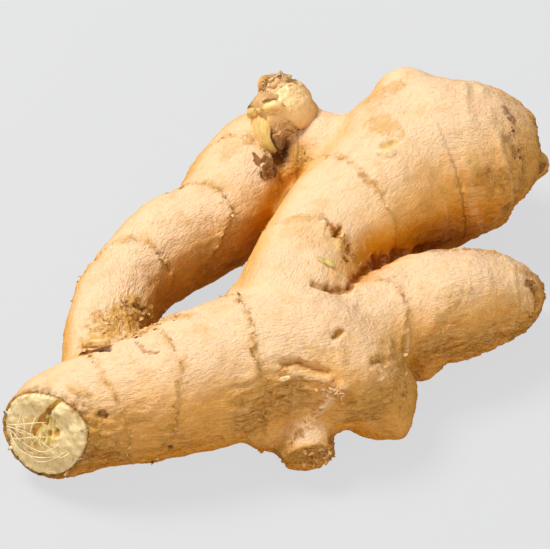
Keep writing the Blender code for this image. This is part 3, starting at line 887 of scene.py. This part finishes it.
for count in range(SHORT_FIBRES):
    start = Vector((thread_luck.uniform(-8.0, 3.0), thread_luck.uniform(-6.5, 1.5)))
    heading = thread_luck.uniform(0, 2 * math.pi)
    route = [tuple(start)]
    for step in range(4):
        heading += thread_luck.uniform(-0.9, 0.9)
        start = start + Vector((math.cos(heading), math.sin(heading))) * SHORT_STEP
        if start.length < 8.0:
            route.append(tuple(start))
    if len(route) > 2:
        routes.append(route)

fibre_curve = bpy.data.curves.new("fibres", "CURVE")
fibre_curve.dimensions = "3D"
fibre_curve.bevel_depth = FIBRE_THICKNESS / 2 * MM
fibre_curve.bevel_resolution = 0
fibre_curve.resolution_u = 6
fibre_curve.use_fill_caps = True
face_middle = CUT_MIDDLE + ACROSS_CUT * centre[0] + UP_CUT * centre[1]
for route in routes:
    thread = fibre_curve.splines.new("NURBS")
    thread.points.add(len(route) - 1)
    thread.order_u = 4
    thread.use_endpoint_u = True
    for index, (place_across, place_up) in enumerate(route):
        inside = 0 < index < len(route) - 1
        proud = thread_luck.uniform(0.9, 2.8) if inside else thread_luck.uniform(0.0, 0.9)
        place = face_middle + ACROSS_CUT * place_across + UP_CUT * place_up + CUT_FACES * proud
        thread.points[index].co = (*(place * MM), 1.0)
        thread.points[index].radius = 1.0 if index < len(route) - 1 else 0.5
fibre_object = bpy.data.objects.new("fibre_curve", fibre_curve)
fibres = bring_in("pulled_fibres", bpy.data.meshes.new_from_object(fibre_object))
bpy.data.objects.remove(fibre_object)
bpy.ops.object.shade_smooth()

thready = Finish("pale_fibre")
along_thread = thready.noise(thready.place(), 500.0, 3.0)
thready.set(
    Base_Color=thready.mix(thready.between(along_thread, 0.35, 0.65), (1.0, 0.88, 0.62), (0.93, 0.74, 0.44)),
    Roughness=thready.lerp(along_thread, 0.4, 0.6),
    Subsurface_Weight=0.2,
    Subsurface_Radius=(1.0, 0.6, 0.2),
    Subsurface_Scale=0.5 * MM,
)
fibres.data.materials.append(thready.material)
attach(fibres, "root")


# --- The bud ---
# A stubby shoot stands where the rear finger ends, behind the upper one: a plump cream core wrapped in dry
# scale leaves, each a thin curved sheet with a torn edge, with a papery brown tuft where they meet on top.

# The middle of the shoot in mm from its foot to its top, with its radius there.
BUD_ROUTE = smooth_route(
    (
        (-2.9, 34.0, 26.2, 2.2), (-4.3, 36.5, 28.0, 3.6), (-4.0, 39.3, 29.7, 5.3), (-2.2, 42.4, 31.2, 7.3),
        (-2.6, 44.9, 33.4, 7.1), (-3.2, 46.6, 35.6, 5.6), (-3.9, 47.8, 37.4, 3.9), (-4.9, 48.9, 38.9, 2.2),
    )
)
BUD_STEPS = len(BUD_ROUTE) - 1
LEAF_CELLS = (40, 28)
# Turns round the shoot are counted from this way, in front and above.
TO_FRONT = np.array((0.0, -0.707, 0.707))


def on_bud(turn, share_up, proud):
    """The place on the shoot at a turn in degrees (0 in front, 90 right), a share of its length and mm out."""
    step = np.clip(share_up, 0, 1) * BUD_STEPS
    row = np.stack([np.interp(step, np.arange(BUD_STEPS + 1), BUD_ROUTE[:, k]) for k in range(4)], axis=1)
    between = np.arange(BUD_STEPS) + 0.5
    ahead = np.stack([np.interp(step, between, np.diff(BUD_ROUTE[:, k])) for k in range(3)], axis=1)
    ahead /= np.linalg.norm(ahead, axis=1)[:, None]
    front = TO_FRONT - (ahead @ TO_FRONT)[:, None] * ahead
    front /= np.linalg.norm(front, axis=1)[:, None]
    right = np.cross(ahead, front)
    angle = np.radians(turn)[:, None]
    return row[:, :3] + (front * np.cos(angle) + right * np.sin(angle)) * (row[:, 3] + proud)[:, None]


def bud_sheet(name, turns, shares, slant, proud, thickness, torn, flare, rough, seed):
    """A thin curved leaf wrapped round the shoot, between two turns and two shares of its length."""
    bpy.ops.object.select_all(action="DESELECT")
    bpy.ops.mesh.primitive_grid_add(x_subdivisions=LEAF_CELLS[0], y_subdivisions=LEAF_CELLS[1], size=2.0)
    sheet = bpy.context.object
    sheet.name = name
    flat = read_points(sheet.data)
    sideways, upward = flat[:, 0], flat[:, 1]
    edge = np.maximum(abs(sideways), abs(upward))
    tear = torn * (0.6 * grain(flat, 0.35, seed) + 0.4 * grain(flat, 0.14, seed + 1)) * rise(edge, 0.3, 1.0)
    sideways = sideways * (1 + tear)
    upward = upward * (1 + tear)
    turn = (turns[0] + turns[1]) / 2 + (turns[1] - turns[0]) / 2 * sideways
    share_up = (shares[0] + shares[1]) / 2 + (shares[1] - shares[0]) / 2 * upward
    share_up += slant * sideways * (1 - upward) / 2
    share_up += 0.025 * grain(flat, 0.3, seed + 5) * rise(edge, 0.5, 1.0)
    out = proud + 0.35 * grain(flat, 0.5, seed + 2) + rough * grain(flat, 0.14, seed + 3)
    out += flare * rise(upward, 0.1, 1.1) - 0.5 * rise(edge, 0.8, 1.0) * (flare == 0)
    shaped = on_bud(turn, share_up, out)
    write_points(sheet.data, shaped)
    note(sheet.data, leaf_place=np.stack([sideways, upward, edge], axis=1))
    finish_with(sheet, "SOLIDIFY", thickness=thickness * MM, offset=-1.0)
    bpy.ops.object.shade_smooth()
    return sheet


def leaf_finish(name, pale, dark, foot, stain):
    """A dry scale leaf: streaked along its length, brown at its torn edge, and tinted at its lower end."""
    leaf = Finish(name)
    place = leaf.read("leaf_place", "Vector")
    height_place = leaf.add("ShaderNodeSeparateXYZ", {}, {0: place}, 1)
    edge_place = leaf.add("ShaderNodeSeparateXYZ", {}, {0: place}, 2)
    veins = leaf.noise(place, 5.0, 4.0, warp=0.4, stretch=(2.2, 0.45, 1.0))
    specks = leaf.noise(leaf.place(), 800.0, 4.0)
    colour = leaf.coat(
        pale,
        (
            (leaf.between(veins, 0.38, 0.66), dark),
            (leaf.between(height_place + 0.5 * (specks - 0.5), -0.35, -0.95), foot),
            (leaf.between(specks, 0.62, 0.74) * 0.5, stain),
            (leaf.between(edge_place + 0.35 * (specks - 0.5), 0.88, 1.02) * 0.75, stain),
        ),
    )
    leaf.set(
        Base_Color=colour,
        Roughness=leaf.lerp(veins, 0.35, 0.60),
        Normal=leaf.bump(veins + specks * 0.6, 0.35 * MM),
    )
    return leaf.material


BUD_BROWN = (0.34, 0.17, 0.06)
# For each finish: its pale and dark streaks, its lower end, and its stains and torn edge.
LEAF_FINISHES = {
    name: leaf_finish(name, *colours)
    for name, colours in (
        ("shoot_core", ((0.80, 0.52, 0.24), (0.60, 0.34, 0.13), BUD_BROWN, (0.22, 0.10, 0.03))),
        ("yellow_scale", ((0.98, 0.72, 0.31), (0.93, 0.59, 0.18), (0.62, 0.42, 0.08), BUD_BROWN)),
        ("cream_scale", ((0.98, 0.73, 0.40), (0.90, 0.56, 0.23), (0.82, 0.50, 0.20), BUD_BROWN)),
        ("brown_crust", ((0.74, 0.45, 0.19), (0.50, 0.26, 0.09), BUD_BROWN, (0.18, 0.08, 0.025))),
        ("papery_tuft", ((0.90, 0.62, 0.33), (0.72, 0.44, 0.20), (0.82, 0.53, 0.24), (0.38, 0.19, 0.06))),
    )
}

# Name, turns, shares of the length, rise to the right, mm proud, thickness, how torn, flare, how crumpled in
# mm, seed and finish.
BUD_LEAVES = (
    ("shoot_core", (-180, 180), (0.0, 0.96), 0.0, -0.6, 3.0, 0.0, 0.0, 0.08, 80, "shoot_core"),
    ("yellow_scale", (-120, -14), (0.00, 0.60), 0.0, 0.8, 0.8, 0.05, 0.0, 0.08, 90, "yellow_scale"),
    ("left_scale", (-170, -40), (0.54, 0.80), 0.0, 0.4, 0.6, 0.14, 0.0, 0.08, 100, "papery_tuft"),
    ("front_scale", (-30, 108), (0.35, 0.80), 0.13, 0.9, 0.9, 0.12, 0.0, 0.08, 110, "cream_scale"),
    ("lower_crust", (-14, 130), (0.08, 0.46), 0.10, 0.2, 0.8, 0.18, 0.0, 0.45, 120, "brown_crust"),
    ("back_scale", (95, 235), (0.10, 0.80), 0.0, 0.4, 0.7, 0.10, 0.0, 0.08, 130, "cream_scale"),
    ("tuft_front", (-70, 40), (0.74, 0.92), 0.0, 0.4, 0.35, 0.20, 0.7, 0.06, 140, "papery_tuft"),
    ("tuft_left", (-160, -50), (0.72, 0.98), 0.0, 0.4, 0.35, 0.24, 1.1, 0.06, 150, "papery_tuft"),
    ("tuft_right", (20, 140), (0.78, 0.90), 0.0, 0.1, 0.35, 0.30, 0.5, 0.06, 160, "papery_tuft"),
    ("tuft_back", (120, 230), (0.74, 1.00), 0.0, 0.2, 0.35, 0.35, 0.9, 0.06, 170, "papery_tuft"),
    ("tuft_tip", (-120, 60), (0.84, 1.00), 0.0, -0.6, 0.35, 0.30, 0.5, 0.06, 180, "papery_tuft"),
)
for *leaf_sizes, finish in BUD_LEAVES:
    leaf = bud_sheet(*leaf_sizes)
    leaf.data.materials.append(LEAF_FINISHES[finish])
    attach(leaf, "root")


# --- Loose flakes of old skin ---
# Dry shreds of the leaves that once wrapped the root still cling along its rings, over the crusty scar and
# round the torn places. Each is a thin curled chip, stuck down at one edge. One is modelled and copied.

RING_FLAKES = 330
# Shares of a chip's length: how deep it is, how far its edge is sunk in the skin, and the least room under it.
CHIP_DEPTH = 0.12
CHIP_SUNK = 0.08
CHIP_ROOM = 0.6

bpy.ops.object.select_all(action="DESELECT")
bpy.ops.mesh.primitive_grid_add(x_subdivisions=4, y_subdivisions=3, size=1.0)
chip = bpy.context.object
flat = read_points(chip.data)
curl = 0.45 * (flat[:, 0] + 0.5) ** 2 + 0.25 * flat[:, 1] ** 2 + 0.16 * grain(flat, 0.4, 190)
narrow = 1 - 0.55 * (flat[:, 0] + 0.5)
chip_points = np.stack([flat[:, 0] + 0.5, flat[:, 1] * narrow + 0.12 * grain(flat, 0.35, 191), curl], axis=1)
chip.data.vertices.foreach_set("co", chip_points.ravel())
finish_with(chip, "SOLIDIFY", thickness=CHIP_DEPTH)
CHIP_SHAPE = read_points(chip.data)
skin_walls = BVHTree.FromPolygons([Vector(p) for p in points], [p.vertices for p in skin.data.polygons])


def stick_chips(name, places_and_sizes, finish, seed, lean):
    """Copies of the chip stuck on the skin near the places, turned by chance, and joined into one piece."""
    luck = random.Random(seed)
    bpy.ops.object.select_all(action="DESELECT")
    copies = []
    for near, size in places_and_sizes:
        spot, outward, which, distance = skin_walls.find_nearest(Vector(near))
        if spot is None or spot.z < CHIP_ROOM * size:
            continue
        turn = Matrix.Rotation(luck.uniform(0, 2 * math.pi), 3, "Z")
        tilt = Matrix.Rotation(-luck.uniform(0.0, lean), 3, "Y")
        stand = outward.to_track_quat("Z", "Y").to_matrix() @ turn @ tilt
        length, width, curl = luck.uniform(0.8, 1.3), luck.uniform(0.5, 1.2), luck.uniform(0.2, 0.8)
        matrix = np.array(stand @ Matrix.Diagonal((size * length, size * width, size * curl)))
        copy = bpy.data.objects.new(name, chip.data.copy())
        bpy.context.scene.collection.objects.link(copy)
        placed = CHIP_SHAPE @ matrix.T + np.array(spot - outward * CHIP_SUNK * size)
        write_points(copy.data, placed)
        note(copy.data, chip_shade=np.full(len(placed), luck.random()))
        copy.select_set(True)
        copies.append(copy)
    bpy.context.view_layer.objects.active = copies[0]
    bpy.ops.object.join()
    joined = bpy.context.object
    joined.data.materials.append(finish)
    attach(joined, "root")


def chip_finish(name, pale, dark):
    """A dry flake: each has its own shade between the two colours, and a rough face."""
    flake = Finish(name)
    shade = flake.read("chip_shade")
    rough = flake.noise(flake.place(), 1100.0, 3.0)
    colour = flake.mix(flake.between(shade + 0.5 * (rough - 0.5), 0.2, 0.9), pale, dark)
    flake.set(Base_Color=colour, Roughness=flake.lerp(rough, 0.5, 0.8), Normal=flake.bump(rough, 0.2 * MM))
    return flake.material


tan_chip = chip_finish("tan_flake", (0.92, 0.62, 0.32), (0.58, 0.30, 0.10))
brown_chip = chip_finish("brown_flake", (0.44, 0.22, 0.07), (0.16, 0.065, 0.015))
pale_chip = chip_finish("pale_flake", (0.95, 0.70, 0.42), (0.84, 0.52, 0.24))

chip_luck = random.Random(21)
on_rings = np.nonzero((abs(ring_gap) < 0.5) & (ring_dark > 0.35) & (points[:, 2] > 2.0))[0]
chosen = chip_luck.sample(on_rings.tolist(), RING_FLAKES)
ring_spots = [(points[index], chip_luck.uniform(0.4, 1.0)) for index in chosen]
stick_chips("ring_flakes", ring_spots, tan_chip, 22, 0.3)


def along_line(stops, count, spread, small, large):
    """Places scattered along a run of stops, each with a size."""
    spots = []
    for index in range(count):
        leg = chip_luck.randrange(len(stops) - 1)
        place = Vector(stops[leg]).lerp(Vector(stops[leg + 1]), chip_luck.random())
        place += Vector([chip_luck.uniform(-spread, spread) for axis in range(3)])
        spots.append((place, chip_luck.uniform(small, large)))
    return spots


CUT_RIM = [
    tuple(face_middle + ACROSS_CUT * across_rim + UP_CUT * up_rim)
    for across_rim, up_rim in ((1.0, 11.0), (4.5, 10.5), (8.0, 8.0), (9.4, 3.0), (9.2, -3.0), (6.5, -8.0))
]

# Name, how many, how far they scatter, their least and greatest size in mm, finish, seed, how far they stand
# up, and the stops of the line they lie along.
FLAKE_LINES = (
    ("scar_flakes", 90, 2.2, 0.3, 1.0, tan_chip, 23, 0.15, (
        (-46.5, -24.0, 21.5), (-43.0, -20.0, 21.5), (-38.1, -14.8, 19.8), (-35.0, -13.8, 15.5),
        (-38.5, -22.8, 19.5),
    )),
    ("scar_edge_flakes", 80, 1.2, 0.4, 1.1, tan_chip, 24, 0.25, (
        (-40.5, -31.0, 26.6), (-36.5, -32.0, 28.6), (-34.5, -29.5, 27.8), (-31.3, -27.6, 27.8),
        (-24.1, -29.6, 31.3),
    )),
    ("lip_flakes", 10, 0.5, 0.5, 1.2, brown_chip, 25, 0.5, ((-50.4, -32.6, 24.4), (-49.0, -34.0, 26.0))),
    ("ridge_flakes", 70, 0.9, 0.4, 1.2, tan_chip, 26, 0.5, (
        (11.6, -44.4, 22.5), (8.2, -45.2, 20.5), (4.4, -47.2, 16.6), (1.4, -49.1, 14.2), (-2.0, -51.2, 9.8),
    )),
    ("pale_shreds", 22, 1.0, 0.7, 1.8, pale_chip, 27, 0.9, ((5.0, -44.2, 23.0), (11.0, -44.3, 22.2))),
    ("dark_flakes", 12, 0.5, 2.0, 3.2, brown_chip, 28, 0.5, (
        (-8.2, 28.6, 26.8), (-5.4, 27.8, 25.8), (-6.2, 25.4, 24.8),
    )),
    ("notch_flakes", 30, 0.8, 0.6, 1.5, tan_chip, 29, 0.5, (
        (7.0, 1.6, 33.4), (9.0, -0.5, 32.8), (12.5, -3.0, 31.0), (13.5, -6.0, 29.6),
    )),
    ("stub_flakes", 40, 0.8, 0.5, 1.3, tan_chip, 30, 0.5, (
        (1.4, -52.9, 9.6), (7.4, -52.2, 9.4), (8.0, -51.8, 6.4), (2.4, -52.6, 6.6),
    )),
    ("tip_flakes", 30, 0.8, 0.4, 1.0, brown_chip, 31, 0.15, (
        (57.0, -7.5, 21.4), (59.0, -8.6, 19.0), (59.4, -10.7, 16.1), (57.7, -13.3, 14.2),
    )),
    ("far_end_flakes", 26, 1.0, 0.4, 1.0, brown_chip, 32, 0.3, (
        (53.1, 35.2, 39.8), (55.1, 32.0, 38.2), (54.5, 26.0, 35.5), (57.6, 24.6, 30.1), (55.8, 21.8, 19.0),
    )),
    ("cut_rim_flakes", 40, 0.6, 0.5, 1.3, tan_chip, 33, 0.5, CUT_RIM),
    ("scar_crumbs", 50, 0.8, 0.35, 0.95, brown_chip, 34, 0.4, (
        (-42.0, -16.0, 21.5), (-39.5, -14.8, 20.4), (-36.5, -14.2, 18.0), (-35.0, -15.5, 15.0),
    )),
)
for name, count, spread, small, large, finish, seed, lean, stops in FLAKE_LINES:
    stick_chips(name, along_line(stops, count, spread, small, large), finish, seed, lean)
bpy.data.objects.remove(chip)


# --- The splinter, the chip and the scar's lip ---
# A pale splinter of skin stands out under the gouge, a green-gold chip is wedged where the upper finger
# leaves the stem, and a golden roll of skin lies along the scar's edge. All are thin, with soft edges.

# Name, width, depth, how far its ends bend aside, how blunt they are, how far it is drawn to the skin from
# the place given, its tail and head, and its two colours.
SLIVERS = (
    ("pale_splinter", 1.2, 0.9, 0.0, 0.3, 1.0,
     (-4.1, -43.9, 25.3), (-0.8, -43.8, 26.3), (1.0, 0.80, 0.52), (0.93, 0.64, 0.32)),
    ("green_chip", 1.9, 0.7, 0.0, 0.0, 1.0,
     (5.2, -11.8, 33.2), (9.6, -12.8, 31.2), (0.72, 0.62, 0.18), (0.80, 0.58, 0.22)),
    ("scar_lip", 2.2, 2.2, 0.9, 0.9, 0.0,
     (-49.5, -34.8, 26.4), (-42.4, -35.9, 29.0), (0.84, 0.54, 0.22), (0.58, 0.30, 0.09)),
)
for name, width, depth, bend, blunt, held, tail, head, pale, dark in SLIVERS:
    tail, head = Vector(tail), Vector(head)
    bpy.ops.object.select_all(action="DESELECT")
    bpy.ops.mesh.primitive_ico_sphere_add(subdivisions=4, radius=1.0)
    sliver = bpy.context.object
    sliver.name = name
    ball = read_points(sliver.data)
    middle_place = (tail + head) / 2
    spot, outward, which, distance = skin_walls.find_nearest(middle_place)
    spot = middle_place.lerp(spot, held)
    lengthwise = (head - tail).normalized()
    sideways = outward.cross(lengthwise).normalized()
    upward = lengthwise.cross(sideways)
    taper = (0.65 + 0.35 * ball[:, 0]) ** (1 - blunt) * (1.001 - ball[:, 0] ** 2) ** (-0.25 * blunt)
    half_sizes = ((head - tail).length / 2, taper * width / 2, taper * depth / 2)
    swell = np.stack([ball[:, k] * half_sizes[k] for k in range(3)], axis=1)
    swell += 0.10 * width * np.stack([grain(ball, 0.5, seed) for seed in (201, 202, 203)], axis=1)
    swell[:, 1] += bend * ball[:, 0] ** 2
    axes = np.array((lengthwise, sideways, upward))
    placed = swell @ axes + np.array(spot + outward * depth * 0.35)
    write_points(sliver.data, placed)
    bpy.ops.object.shade_smooth()
    shred = Finish(name)
    strands = shred.noise(shred.place(), 700.0, 4.0, warp=0.5)
    shred.set(
        Base_Color=shred.mix(shred.between(strands, 0.4, 0.65), pale, dark),
        Roughness=shred.lerp(strands, 0.4, 0.6),
        Normal=shred.bump(strands, 0.2 * MM),
    )
    sliver.data.materials.append(shred.material)
    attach(sliver, "root")
